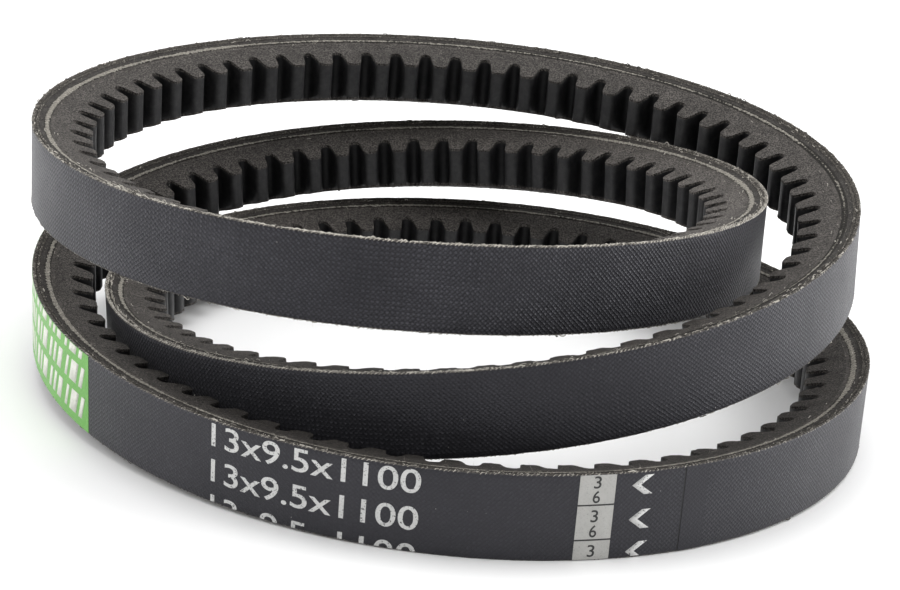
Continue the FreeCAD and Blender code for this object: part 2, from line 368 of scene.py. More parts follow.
def film_mesh(name, flat, faces):
    """A mesh whose points are given in belt coordinates."""
    mesh = bpy.data.meshes.new(name)
    fill_mesh(mesh, place(flat), faces)
    add_belt_places(mesh, flat[faces])
    return mesh


def slab(name, u0, u1, s0, s1, top, material, step=0.5, bottom=FILM_FOOT):
    """A thin film on the back face: its own top, and edges that go down into the fabric."""
    us = np.linspace(u0, u1, max(2, int((u1 - u0) / step) + 1))
    ss = np.linspace(s0, s1, max(2, int(s1 - s0) + 1))
    us = np.concatenate([[us[0]], us, [us[-1]]])
    ss = np.concatenate([[ss[0]], ss, [ss[-1]]])
    grid_u, grid_s = np.meshgrid(us, ss, indexing="ij")
    grid_d = np.full(grid_u.shape, bottom)
    grid_d[1:-1, 1:-1] = top
    flat = np.stack([grid_u, grid_s, grid_d], axis=-1).reshape(-1, 3)
    faces = grid_faces(len(us), len(ss), False, False)[:, ::-1]
    mesh = film_mesh(name, flat, faces)
    finish_mesh(mesh, SHARP_ANGLE)
    return make_object(name, mesh, material)


def strip(name, u0, length, margin, top, material, step=0.5):
    """A film as wide as the back face, but for a margin at both its edges."""
    s1 = HALF_WIDTH - margin
    return slab(name, u0, u0 + length, -s1, s1, top, material, step)


def print_shape(name, text, u0, u1, baseline, height, material, cut=None, top=INK_TOP):
    """Digits printed on the back face: a thin raised film as wide as from u0 to u1."""
    curve = bpy.data.curves.new(name + "_outline", "FONT")
    curve.body = text
    curve.extrude = 0.5
    curve.resolution_u = 6
    curve.offset = INK_BOLD
    source = bpy.data.objects.new(name + "_outline", curve)
    mesh = bpy.data.meshes.new_from_object(source)
    bpy.data.objects.remove(source)
    bpy.data.curves.remove(curve)
    map_print(mesh, u0, u1, baseline, height, cut, top)
    mesh.name = name
    return make_object(name, mesh, material)


def map_print(mesh, u0, u1, baseline, height, cut, top):
    """Scale an extruded outline to its place, divide it finely and lay it on the belt.

    With a cut, what lies below that s is taken away."""
    work = bmesh.new()
    work.from_mesh(mesh)
    xs = [vertex.co.x for vertex in work.verts]
    ys = [vertex.co.y for vertex in work.verts]
    low = min(xs)
    span = max(xs) - low
    floor_y = min(ys)
    tall = max(ys) - floor_y
    for vertex in work.verts:
        vertex.co.x = u0 + (vertex.co.x - low) / span * (u1 - u0)
        vertex.co.y = baseline + (vertex.co.y - floor_y) / tall * height
    for u in np.arange(u0 + INK_STEP, u1, INK_STEP):
        geometry = work.verts[:] + work.edges[:] + work.faces[:]
        bmesh.ops.bisect_plane(work, geom=geometry, plane_co=(u, 0, 0), plane_no=(1, 0, 0))
    if cut is not None:
        geometry = work.verts[:] + work.edges[:] + work.faces[:]
        bmesh.ops.bisect_plane(
            work, geom=geometry, plane_co=(0, cut, 0), plane_no=(0, -1, 0), clear_outer=True
        )
    work.to_mesh(mesh)
    work.free()
    flat = np.empty(len(mesh.vertices) * 3)
    mesh.vertices.foreach_get("co", flat)
    flat = flat.reshape(-1, 3)
    flat[:, 2] = np.where(flat[:, 2] > 0, top, FILM_FOOT)
    mesh.vertices.foreach_set("co", place(flat).ravel())
    index = np.empty(len(mesh.loops), dtype=np.int32)
    mesh.loops.foreach_get("vertex_index", index)
    add_belt_places(mesh, flat[index])
    mesh.materials.clear()
    mesh.update()


def polygon_print(name, outlines, material, top=INK_TOP):
    """Printed marks: closed outlines of (u, s) points, laid on the back face as thin films.

    The first half of each outline runs along one side of the mark, and the rest comes back."""
    points = []
    faces = []
    for outline in outlines:
        start = len(points)
        count = len(outline)
        points += [(u, s, top) for u, s in outline]
        points += [(u, s, FILM_FOOT) for u, s in outline]
        half = count // 2
        for i in range(half - 1):
            faces.append([start + i, start + i + 1, start + count - 2 - i, start + count - 1 - i])
        for i in range(count):
            after = (i + 1) % count
            faces.append([start + i, start + count + i, start + count + after, start + after])
    mesh = film_mesh(name, np.array(points), np.array(faces))
    return make_object(name, mesh, material)


def threads(name, paths, radii, material, tint):
    """Many short threads as three-sided tubes. paths is threads x points x (u, s, d)."""
    sides = 3
    centre = place(paths)
    clear = centre[..., 2].min(axis=1) > radii.max(axis=1) * MM
    centre = centre[clear]
    radii = radii[clear]
    tint = tint[clear]
    count, steps, _ = centre.shape
    along = np.gradient(centre, axis=1)
    along /= np.linalg.norm(along, axis=-1, keepdims=True) + 1e-12
    helper = np.where(np.abs(along[..., 2:]) > 0.8, [[[1.0, 0.0, 0.0]]], [[[0.0, 0.0, 1.0]]])
    first = np.cross(along, helper)
    first /= np.linalg.norm(first, axis=-1, keepdims=True)
    second = np.cross(along, first)
    turns = 2 * np.pi * np.arange(sides) / sides
    radii = (radii * MM)[:, :, None, None]
    offsets = np.cos(turns)[None, None, :, None] * first[:, :, None, :]
    offsets = offsets + np.sin(turns)[None, None, :, None] * second[:, :, None, :]
    points = centre[:, :, None, :] + offsets * radii
    block = grid_faces(steps, sides, False, True)
    starts = np.arange(count) * steps * sides
    faces = (block[None, :, :] + starts[:, None, None]).reshape(-1, 4)
    mesh = bpy.data.meshes.new(name)
    fill_mesh(mesh, points.reshape(-1, 3), faces)
    add_point_value(mesh, "tint", np.repeat(tint, steps * sides))
    smooth(mesh)
    mesh.update()
    return make_object(name, mesh, material)


# --- Materials ---

class Look:
    """A material's nodes. Each method takes sockets or plain numbers and returns a socket."""

    def __init__(self, name):
        self.material = bpy.data.materials.new(name)
        self.material.use_nodes = True
        self.tree = self.material.node_tree
        self.tree.nodes.clear()
        self.place = self.add("ShaderNodeTexCoord").outputs["Object"]

    def add(self, kind, inputs=None, **settings):
        """A node with these inputs, each a socket to link or a value to set."""
        node = self.tree.nodes.new(kind)
        for key, value in settings.items():
            setattr(node, key, value)
        for key, value in (inputs or {}).items():
            if isinstance(value, bpy.types.NodeSocket):
                self.tree.links.new(value, node.inputs[key])
            else:
                node.inputs[key].default_value = value
        return node

    def math(self, operation, a, b=0.0, c=0.0):
        return self.add("ShaderNodeMath", {0: a, 1: b, 2: c}, operation=operation).outputs[0]

    def times(self, a, b):
        return self.math("MULTIPLY", a, b)

    def plus(self, a, b):
        return self.math("ADD", a, b)

    def minus(self, a, b):
        return self.math("SUBTRACT", a, b)

    def times_plus(self, a, b, c):
        """a times b, plus c."""
        return self.math("MULTIPLY_ADD", a, b, c)

    def belt(self):
        """The belt coordinates u, s and d."""
        attribute = self.add("ShaderNodeAttribute", attribute_name="belt")
        split = self.add("ShaderNodeSeparateXYZ", {0: attribute.outputs["Vector"]})
        return split.outputs[0], split.outputs[1], split.outputs[2]

    def value(self, name):
        """A number that the mesh's points carry, or 0 where they carry none."""
        return self.add("ShaderNodeAttribute", attribute_name=name).outputs["Fac"]

    def noise(self, grain, detail=3.0, roughness=0.6):
        """Noise from about 0.2 to 0.8, with grains of this many millimetres."""
        inputs = {"Vector": self.place, "Scale": 1.0 / (grain * MM)}
        inputs.update(Detail=detail, Roughness=roughness)
        return self.add("ShaderNodeTexNoise", inputs).outputs["Fac"]

    def spread(self, value, low, high, to_low=0.0, to_high=1.0):
        """A value stretched from one range to another, and held inside it."""
        inputs = {0: value, 1: low, 2: high, 3: to_low, 4: to_high}
        return self.add("ShaderNodeMapRange", inputs, clamp=True).outputs[0]

    def specks(self, grain, core, rim, fewest, most):
        """Scattered specks, from 0 to 1. Each fades from its core to its rim, and only those
        whose own random number is past the last two values show."""
        inputs = {"Vector": self.place, "Scale": 1.0 / (grain * MM)}
        node = self.add("ShaderNodeTexVoronoi", inputs)
        near = self.spread(node.outputs["Distance"], core, rim, 1.0, 0.0)
        return self.times(near, self.spread(node.outputs["Color"], fewest, most))

    def mix(self, share, a, b):
        """A colour between two, each a colour or a socket."""
        ends = [end if isinstance(end, bpy.types.NodeSocket) else (*end, 1.0) for end in (a, b)]
        inputs = {0: share, 6: ends[0], 7: ends[1]}
        return self.add("ShaderNodeMix", inputs, data_type="RGBA").outputs[2]

    def bump(self, height, depth):
        """A surface's normal with this height, where 1 is a depth in millimetres."""
        inputs = {"Height": height, "Distance": depth * MM, "Strength": 1.0}
        return self.add("ShaderNodeBump", inputs).outputs[0]

    def finish(self, colour, roughness, normal=None, **extra):
        """The finished material, with one principled surface."""
        inputs = {"Base Color": colour, "Roughness": roughness}
        if normal is not None:
            inputs["Normal"] = normal
        for key, value in extra.items():
            inputs[key.replace("_", " ")] = value
        surface = self.add("ShaderNodeBsdfPrincipled", inputs)
        output = self.add("ShaderNodeOutputMaterial")
        self.tree.links.new(surface.outputs[0], output.inputs[0])
        return self.material


# A whole number of half-millimetre threads goes round the belt, so the weave joins up.
THREAD_WIDTH = 0.5
WEAVE_THREADS = round(CORD_LENGTH / (math.sqrt(2) * THREAD_WIDTH))
WEAVE_RATE = WEAVE_THREADS / CORD_LENGTH


def weave(look, u, s):
    """The height of a plain weave cut on the bias, from 0 between threads to 1 on top of them."""
    drift = look.times_plus(look.noise(5.0, 3.0), 0.9, -0.45)
    s = look.plus(s, drift)
    first = look.times(look.plus(u, s), WEAVE_RATE)
    second = look.times(look.minus(u, s), WEAVE_RATE)
    ridges = []
    for across in (first, second):
        wave = look.math("SINE", look.times(across, math.pi))
        ridges.append(look.math("POWER", look.math("ABSOLUTE", wave), 0.7))
    whole = look.plus(look.math("FLOOR", first), look.math("FLOOR", second))
    over = look.math("PINGPONG", whole, 1.0)
    top = look.times(ridges[0], look.times_plus(ridges[1], 0.6, 0.4))
    other = look.times(ridges[1], look.times_plus(ridges[0], 0.6, 0.4))
    lean = look.spread(look.noise(38.0, 1.0), 0.4, 0.6, 0.4, 0.6)
    lean = look.plus(lean, look.value("lean"))
    top = look.times(top, look.times_plus(lean, -1.1, 1.5))
    other = look.times(other, look.times_plus(lean, 1.1, 0.4))
    difference = look.minus(top, other)
    height = look.times_plus(difference, over, other)
    corner = {0: look.math("FLOOR", first), 1: look.math("FLOOR", second)}
    cell = look.add("ShaderNodeCombineXYZ", corner)
    random = look.add("ShaderNodeTexWhiteNoise", {"Vector": cell.outputs[0]})
    each = look.spread(random.outputs["Value"], 0.0, 1.0, 0.62, 1.15)
    return look.times(height, each)


def backing_fabric():
    """Rubberised bias-woven fabric: charcoal on the back face, paler fibres where it is cut."""
    look = Look("backing_fabric")
    u, s, d = look.belt()
    cloth = weave(look, u, s)
    wear = look.spread(look.noise(16.0, 4.0), 0.35, 0.68)
    fine = look.noise(0.2, 3.0, 0.7)
    woven = look.value("woven")
    dark = look.mix(wear, (0.0012, 0.0012, 0.0015), (0.003, 0.003, 0.0036))
    light = look.mix(wear, (0.03, 0.0298, 0.036), (0.064, 0.0635, 0.074))
    thread = look.times(cloth, look.spread(fine, 0.3, 0.7, 0.55, 1.25))
    plain = look.mix(fine, (0.006, 0.006, 0.0072), (0.021, 0.021, 0.0255))
    face = look.mix(woven, plain, look.mix(thread, dark, light))
    dust = look.specks(1.25, 0.035, 0.07, 0.82, 0.83)
    face = look.mix(dust, face, (0.36, 0.35, 0.33))
    cut = cut_fibres(look)
    near_rim = look.spread(look.math("ABSOLUTE", s), HALF_WIDTH - 0.2, HALF_WIDTH - 0.06)
    torn = look.spread(look.noise(0.4, 3.0, 0.7), 0.36, 0.56)
    frayed = look.spread(look.value("frayed"), 0.4, 1.0, 0.08, 0.8)
    rim = look.times(look.times(near_rim, torn), frayed)
    face = look.mix(rim, face, (0.25, 0.225, 0.19))
    edge = look.spread(d, 0.03, 0.09)
    colour = look.mix(edge, face, cut)
    rough = look.spread(wear, 0.0, 1.0, 0.52, 0.42)
    rough = look.plus(rough, look.times(edge, 0.35))
    height = look.times(cloth, look.spread(woven, 0.0, 1.0, 0.25, 1.3))
    height = look.times_plus(fine, 0.35, height)
    normal = look.bump(height, 0.11)
    gloss = look.mix(edge, (0.93, 0.92, 1.0), (1.0, 0.94, 0.90))
    level = look.spread(edge, 0.0, 1.0, 0.45, 0.12)
    return look.finish(colour, rough, normal, Sheen_Weight=0.08, Sheen_Roughness=0.3,
                       Specular_IOR_Level=level, Specular_Tint=gloss)


def cut_fibres(look):
    """The colour of fabric that is cut across: grey-brown rubber with pale fibre ends."""
    coarse = look.spread(look.noise(0.3, 3.0, 0.75), 0.38, 0.62)
    ends = look.specks(0.3, 0.2, 0.5, 0.45, 0.8)
    frayed = look.spread(look.value("frayed"), 0.3, 1.0, 0.12, 1.0)
    pale = look.times(ends, frayed)
    base = look.mix(coarse, (0.010, 0.009, 0.008), (0.095, 0.086, 0.076))
    return look.mix(pale, base, (0.42, 0.385, 0.325))


def inner_fabric():
    """The second ply, which shows only where it is cut, with a dark joint line at each face."""
    look = Look("inner_fabric")
    d = look.belt()[2]
    fine = look.noise(0.25, 3.0, 0.7)
    colour = cut_fibres(look)
    seam_and_shadow = look.math("ABSOLUTE", look.minus(d, 0.92))
    colour = look.mix(look.spread(seam_and_shadow, 0.17, 0.26), colour, (0.006, 0.0055, 0.005))
    normal = look.bump(fine, 0.08)
    return look.finish(colour, 0.75, normal, Specular_IOR_Level=0.12)


def ground_rubber(name, low, high, speck, grain):
    """Rubber that is ground on the flank: matte, with specks."""
    look = Look(name)
    fine = look.noise(grain, 4.0, 0.75)
    broad = look.spread(look.noise(3.0, 3.0), 0.35, 0.65)
    colour = look.mix(look.spread(fine, 0.4, 0.6), low, high)
    colour = look.mix(look.specks(grain * 1.6, 0.2, 0.4, 0.8, 0.88), colour, speck)
    colour = look.mix(look.times(broad, 0.35), colour, low)
    normal = look.bump(fine, 0.1)
    rough = look.spread(broad, 0.0, 1.0, 0.6, 0.75)
    return look.finish(colour, rough, normal, Specular_IOR_Level=0.15)


def cord():
    """The cord cut open at the flank: pale, twisted, and covered by gum where it isn't cut."""
    look = Look("polyester_cord")
    u, _, d = look.belt()
    fine = look.spread(look.noise(0.22, 3.0, 0.75), 0.35, 0.65)
    shows = look.value("shows")
    lay = look.times_plus(d, 0.7, u)
    twist = look.math("SINE", look.times(lay, math.pi / 1.1))
    strands = look.spread(look.math("ABSOLUTE", twist), 0.0, 0.5)
    pale = look.mix(fine, (0.11, 0.102, 0.09), (0.42, 0.395, 0.345))
    pale = look.mix(strands, (0.15, 0.14, 0.122), pale)
    gum = look.mix(fine, (0.006, 0.0055, 0.005), (0.035, 0.032, 0.028))
    middle = look.math("ABSOLUTE", look.minus(d, CORD_DEPTH))
    reach = look.times_plus(shows, 0.5, -0.06)
    reach = look.plus(reach, look.minus(look.noise(0.45), 0.5))
    inside = look.spread(look.minus(reach, middle), -0.04, 0.04)
    colour = look.mix(inside, gum, pale)
    height = look.times_plus(strands, 0.8, fine)
    normal = look.bump(height, 0.08)
    return look.finish(colour, 0.75, normal, Specular_IOR_Level=0.12)


def cogged_rubber():
    """Fibre-loaded rubber: ground and speckled on the flanks, moulded and smooth inside."""
    look = Look("fibre_loaded_rubber")
    u, _, d = look.belt()
    moulded = look.spread(look.value("moulded"), 0.45, 0.55)
    fine = look.noise(0.28, 4.0, 0.8)
    broad = look.spread(look.noise(4.0, 4.0), 0.35, 0.65)
    base = look.mix(look.spread(fine, 0.44, 0.6), (0.008, 0.0072, 0.0066), (0.22, 0.20, 0.184))
    specks = look.specks(0.36, 0.12, 0.34, 0.68, 0.84)
    flank = look.mix(look.times(specks, 0.8), base, (0.36, 0.33, 0.29))
    flank = look.mix(look.times(broad, 0.4), flank, (0.03, 0.027, 0.025))
    pale = look.spread(look.value("pale"), 0.0, 1.0, 0.95, 0.0)
    flank = look.mix(look.times(pale, 0.8), flank, (0.008, 0.0075, 0.007))
    streak = mould_streaks(look, u)
    mould = look.mix(streak, (0.0045, 0.0045, 0.005), (0.013, 0.013, 0.0145))
    dusty = look.spread(look.noise(1.1, 5.0, 0.7), 0.42, 0.7)
    mould = look.mix(look.times(dusty, 0.7), mould, (0.034, 0.033, 0.033))
    lint = look.specks(0.9, 0.03, 0.06, 0.88, 0.89)
    mould = look.mix(lint, mould, (0.3, 0.29, 0.27))
    # Painted shade: the moulded faces are painted darker towards the notch roots, deep in the
    # recess. The same mask also raises the gloss towards the cog tips.
    notch_shade_and_gloss = look.spread(d, BELT_THICKNESS - 0.9 * NOTCH_DEPTH, BELT_THICKNESS - 0.2, 0.5, 1.0)
    mould = look.mix(notch_shade_and_gloss, (0.006, 0.006, 0.0065), mould)
    colour = look.mix(moulded, flank, mould)
    rough_flank = look.spread(fine, 0.3, 0.7, 0.6, 0.8)
    rough = look.times_plus(moulded, -0.24, rough_flank)
    ground = look.times(fine, look.spread(moulded, 0.0, 1.0, 1.0, 0.15))
    drawn = look.times(streak, look.times(moulded, 0.25))
    normal = look.bump(look.plus(ground, drawn), 0.11)
    level = look.times(notch_shade_and_gloss, 0.42)
    level = look.times_plus(look.minus(level, 0.13), moulded, 0.13)
    return look.finish(colour, rough, normal, Specular_IOR_Level=level)


def mould_streaks(look, u):
    """Faint lines across the belt, as the mould leaves them."""
    line = look.add("ShaderNodeCombineXYZ", {0: u})
    inputs = {"Vector": line.outputs[0], "Scale": 3.0, "Detail": 3.0}
    return look.add("ShaderNodeTexNoise", inputs).outputs["Fac"]


def film(name, colour, worn, grain=0.25, rough=0.4, wear_low=0.58, wear_high=0.68):
    """Print or film on the fabric: the weave shows through it and it is worn in specks."""
    look = Look(name)
    u, s, _ = look.belt()
    cloth = weave(look, u, s)
    wear = look.spread(look.noise(grain, 4.0, 0.7), wear_low, wear_high)
    shade = look.spread(look.noise(2.0, 3.0), 0.3, 0.7)
    fresh = look.mix(shade, tuple(part * 0.88 for part in colour), colour)
    tone = look.mix(wear, fresh, worn)
    normal = look.bump(cloth, 0.02)
    return look.finish(tone, rough, normal)


def fibre():
    """Loose thread. Its tint runs from dirty at 0 to pale at 1."""
    look = Look("cut_thread")
    tint = look.value("tint")
    fine = look.noise(0.08, 2.0)
    colour = look.mix(tint, (0.045, 0.041, 0.036), (0.66, 0.625, 0.56))
    colour = look.mix(look.times(fine, 0.3), colour, (0.07, 0.063, 0.055))
    return look.finish(colour, 0.8, Specular_IOR_Level=0.15)


def floor_material():
    """Nearly white, and a little uneven."""
    look = Look("floor")
    soft = look.noise(30.0, 2.0)
    colour = look.mix(soft, (0.92, 0.92, 0.92), (0.935, 0.935, 0.935))
    return look.finish(colour, 0.6)


# --- The pieces ---

def round_belt(section):
    """One section all round the belt: u for each row, then u, s and d for each point."""
    u = np.arange(RING_ROWS) * CORD_LENGTH / RING_ROWS
    s = np.repeat(section[None, :, 0], RING_ROWS, axis=0)
    d = np.repeat(section[None, :, 1], RING_ROWS, axis=0)
    return u, u[:, None] + 0 * s, s, d


def ply_section(top, bottom, columns_across):
    """A ply's section: across its top, round its edges and down its flanks."""
    radius = 0.12 if top == 0.0 else 0.04
    half_top = half_width(top)
    left = []
    for turn in np.radians([90, 60, 30, 0]):
        x = -half_top + radius - radius * math.sin(turn)
        left.append((x, top + radius - radius * math.cos(turn)))
    inner = [(x, top) for x in np.linspace(-half_top + radius, half_top - radius, columns_across)]
    right = [(-x, y) for x, y in reversed(left)]
    down = [(half_width(y), y) for y in np.linspace(top + radius, bottom, 4)[1:]]
    up = [(-x, y) for x, y in reversed(down)]
    return np.array(left + inner[1:-1] + right + down + up)


def make_ply(name, top, bottom, material, seed):
    """A fabric ply, rough along its cut edges and a little wavy on the back face."""
    u, grid_u, s, d = round_belt(ply_section(top, bottom, 15))
    side = np.sign(s)
    near_edge = np.abs(s) > half_width(d) - 0.02
    rough = lattice_noise(grid_u, d * 3 + side * 20, 0.9, 0.5, seed)
    fine = lattice_noise(grid_u, d * 5 + side * 31, 0.5, 0.4, seed + 1)
    s = s + np.where(near_edge, side * PLY_RELIEF * (rough + 0.6 * fine), 0.0)
    wave = lattice_noise(grid_u, s, 22.0, 9.0, seed + 2)
    if top == 0.0:
        d = d + np.where(d < 0.01, 0.02 * (wave - 1.0), 0.0)
    values = {
        "woven": along_coil(WEAVE_SHOWS, u)[:, None],
        "frayed": along_coil(EDGE_FRAYS, u)[:, None],
        "lean": along_coil(WEAVE_LEANS, u)[:, None],
    }
    return ring(name, u, s, d, material, values)


def make_band(name, top, bottom, material, bulge, relief, seed, shows=None):
    """A layer that shows only at the flanks, standing out or standing back a little."""
    depths = np.linspace(top, bottom, 7)
    crown = bulge * np.sin(np.pi * (depths - top) / (bottom - top))
    right = [(half_width(y) + c, y) for y, c in zip(depths, crown)]
    left = [(-x, y) for x, y in reversed(right)]
    u, grid_u, s, d = round_belt(np.array(left + right))
    side = np.sign(s)
    rough = lattice_noise(grid_u, d * 4 + side * 23, 0.8, 0.7, seed)
    s = s + side * relief * rough
    values = {}
    if shows is not None:
        patchy = lattice_noise(grid_u, side * 11, 7.0, 1.0, seed + 5)
        values["shows"] = np.clip(along_coil(shows, u)[:, None] + 0.22 * patchy, 0.0, 1.0)
    return ring(name, u, s, d, material, values)


def cog_profile(samples):
    """One cog's outline from a notch's middle to the next, at evenly spaced places along it."""
    tip = BELT_THICKNESS
    root = tip - NOTCH_DEPTH
    slope = math.atan2(NOTCH_DEPTH, (NOTCH_MOUTH - NOTCH_FLOOR) / 2)
    half = [(0.0, root)]
    half += arc((NOTCH_FLOOR / 2, root), 0.0, slope, NOTCH_ROOT_RADIUS)
    half += arc((NOTCH_MOUTH / 2, tip), slope, 0.0, COG_CORNER_RADIUS)
    half.append((PITCH / 2, tip))
    outline = np.array(half + [(PITCH - x, y) for x, y in reversed(half[:-1])])
    steps = np.concatenate([[0.0], np.cumsum(np.linalg.norm(np.diff(outline, axis=0), axis=1))])
    wanted = steps[-1] * np.arange(samples) / samples
    return np.interp(wanted, steps, outline[:, 0]), np.interp(wanted, steps, outline[:, 1])


def arc(corner, before, after, radius):
    """Points round a corner that is rounded to this radius, between these two headings."""
    steps = 10
    turn = after - before
    setback = radius * math.tan(abs(turn) / 2)
    x = corner[0] - setback * math.cos(before)
    y = corner[1] - setback * math.sin(before)
    points = [(x, y)]
    for step in range(steps):
        heading = before + turn * (step + 0.5) / steps
        stride = 2 * radius * math.sin(abs(turn) / steps / 2)
        x += stride * math.cos(heading)
        y += stride * math.sin(heading)
        points.append((x, y))
    return points


def make_cogs(material):
    """The compression rubber: ground flanks, and cogs that the mould has rounded."""
    samples = 24
    flank_rows = 7
    across_rows = 8
    along, depth = cog_profile(samples)
    u = (FIRST_NOTCH + PITCH * np.arange(COG_COUNT)[:, None] + along[None, :]).ravel()
    order = np.argsort(u % CORD_LENGTH, kind="stable")
    depth = np.tile(depth, COG_COUNT)
    rng = np.random.default_rng(41)
    tilt = np.repeat(rng.normal(0.0, 0.03, COG_COUNT), samples)
    depth = depth + tilt * (depth > BELT_THICKNESS - 1.0)
    share = np.linspace(0.0, 1.0, flank_rows)
    right_d = COMPRESSION_TOP + (depth[:, None] - COMPRESSION_TOP) * share[None, :]
    right_s = half_width(right_d)
    edge = right_s[:, -1:]
    spread = np.linspace(1.0, -1.0, across_rows + 2)[1:-1]
    mid_s = edge * spread[None, :] * 0.995
    mid_d = depth[:, None] + 0.0 * mid_s
    s = np.concatenate([right_s, mid_s, -right_s[:, ::-1]], axis=1)
    d = np.concatenate([right_d, mid_d, right_d[:, ::-1]], axis=1)
    grid_u = np.repeat(u[:, None], s.shape[1], axis=1)
    side = np.sign(s)
    flank = np.zeros(s.shape[1], dtype=bool)
    flank[:flank_rows] = True
    flank[-flank_rows:] = True
    rough = lattice_noise(grid_u, d + side * 17, 0.55, 0.5, 51)
    broad = lattice_noise(grid_u, d + side * 29, 3.0, 2.0, 52)
    s = s + np.where(flank[None, :], side * (0.035 * rough + 0.03 * broad), 0.0)
    inner = lattice_noise(grid_u, s, 1.4, 2.2, 53)
    worn = lattice_noise(grid_u, side * 5, 0.7, 1.0, 54)
    rim = np.concatenate([share ** 6, np.zeros(across_rows), share[::-1] ** 6])
    d = d + np.where(flank[None, :], 0.07 * worn * rim[None, :], 0.02 * inner)
    moulded = np.broadcast_to(np.where(flank, 0.0, 1.0), s.shape)
    u = u % CORD_LENGTH
    pale = np.broadcast_to(along_coil(FLANK_PALES, u)[:, None], s.shape)
    values = {"moulded": moulded[order], "pale": pale[order]}
    return ring("cogged_rubber", u[order], s[order], d[order], material, values, 50.0)


def make_thread_ends(name, material, top, bottom, seed, share, fray=EDGE_FRAYS, size=1.0):
    """The ends of the fabric's cut threads, which stand out of both edges of a ply."""
    rng = np.random.default_rng(seed)
    count = int(CORD_LENGTH / THREAD_SPACING)
    paths = []
    tints = []
    for side, lean in ((1, 1), (1, -1), (-1, 1), (-1, -1)):
        u = spaced(rng, count, 0.4)
        frays = along_coil(fray, u) * (0.45 + 0.55 * patches(u, 2.5, seed + 9 + side))
        keep_it = chance(rng, count) < share * frays * (1.0 if side > 0 else 0.6)
        u = u[keep_it]
        frays = frays[keep_it]
        d = rng.uniform(top, bottom, len(u))
        length = size * (rng.gamma(2.0, 0.04, len(u)) + 0.12 * frays + 0.3 * frays ** 3)
        out = np.outer(length, np.linspace(-0.3, 1.0, 4))
        along = u[:, None] + lean * out * rng.uniform(0.3, 1.5, len(u))[:, None]
        across = side * (half_width(d)[:, None] + out * 0.6)
        down = d[:, None] + np.outer(rng.normal(0.0, 0.6, len(u)), [0, 0, 0.05, 0.12])
        paths.append(np.stack([along, across, down], axis=-1))
        tints.append(np.clip(rng.normal(0.0, 0.3, len(u)) + frays, 0.03, 1.0))
    paths = np.concatenate(paths)
    radii = rng.uniform(0.045, 0.085, (len(paths), 1)) * np.array([[1.0, 1.0, 0.95, 0.6]])
    return threads(name, paths, radii, material, np.concatenate(tints))


def make_edge_row(material):
    """The bias threads that come over both edges of the back face, where the rubber is worn."""
    rng = np.random.default_rng(91)
    count = int(CORD_LENGTH / EDGE_SPACING)
    paths = []
    tints = []
    thickness = []
    for side in (1, -1):
        u = spaced(rng, count, 0.12)
        patchy = 0.75 + 0.4 * patches(u, 5.0, 95 + side)
        shown = along_coil(EDGE_FRAYS, u) * patchy * (1.0 if side > 0 else 0.55)
        keep_it = chance(rng, count) < shown + 0.35
        u = u[keep_it]
        shown = np.clip(shown[keep_it], 0.0, 1.0)
        back = rng.uniform(0.2, 0.32, len(u)) * (0.6 + 0.5 * shown)
        along = u[:, None] + np.outer(back, [-0.9, -0.45, 0.0, 0.45, 0.9])
        down = np.outer(np.ones(len(u)), [0.05, -0.03, 0.0, 0.13, 0.34])
        down = down + rng.normal(0.0, 0.015, (len(u), 1))
        across = HALF_WIDTH + np.outer(back, [-0.75, -0.45, -0.05, 0.15, 0.08])
        across = side * (across - np.maximum(down, 0.0) * TAPER)
        paths.append(np.stack([along, across, down], axis=-1))
        tints.append(np.clip(0.12 + 0.8 * shown + rng.normal(0.0, 0.2, len(u)), 0.05, 1.0))
        thickness.append(0.45 + 0.65 * shown)
    paths = np.concatenate(paths)
    radii = rng.uniform(0.08, 0.115, len(paths)) * np.concatenate(thickness)
    radii = radii[:, None] * np.array([[0.6, 1.0, 1.0, 0.9, 0.5]])
    return threads("edge_row", paths, radii, material, np.concatenate(tints))


def make_loose_threads(material):
    """Threads and fibres that the grinding has torn up. They lie along the flanks' outer half."""
    rng = np.random.default_rng(71)
    steps = 8
    count = 20000
    u = rng.uniform(0.0, CORD_LENGTH, count)
    patchy = 0.6 + 0.4 * lattice_noise(u, 0 * u, 4.0, 1.0, 72)
    side = np.where(chance(rng, count) < 0.7, 1.0, -1.0)
    torn = along_coil(LOOSE_THREADS, u) * patchy
    keep_it = chance(rng, count) < np.where(side > 0, torn, 0.5 * torn)
    u = u[keep_it]
    side = side[keep_it]
    count = len(u)
    deep = chance(rng, count) < 0.35
    rim = chance(rng, count) < 0.5
    shallow = np.where(rim, rng.uniform(-0.02, 0.3, count), rng.uniform(0.3, 1.25, count))
    d0 = np.where(deep, rng.uniform(1.2, 4.2, count), shallow)
    length = np.where(deep, rng.uniform(0.2, 0.9, count), rng.uniform(0.25, 1.1, count))
    run = np.linspace(0.0, 1.0, steps)
    wobble = np.cumsum(rng.normal(0.0, 0.04, (count, steps)), axis=1)
    bob = np.cumsum(rng.normal(0.0, 0.05, (count, steps)), axis=1)
    along = u[:, None] + np.outer(length, run)
    down = d0[:, None] + wobble
    rise = 0.015 + np.abs(bob) * np.sin(np.pi * run)[None, :]
    across = side[:, None] * (half_width(np.maximum(down, 0.0)) + rise)
    paths = np.stack([along, across, down], axis=-1)
    radii = np.where(deep, 0.6, 1.0) * rng.uniform(0.05, 0.11, count)
    worn = along_coil(EDGE_FRAYS, u)
    tint = np.clip(rng.normal(0.1, 0.45, count) + 0.7 * worn - 0.1 * deep, 0.03, 1.0)
    return threads("loose_threads", paths, radii[:, None] * np.ones((1, steps)), material, tint)


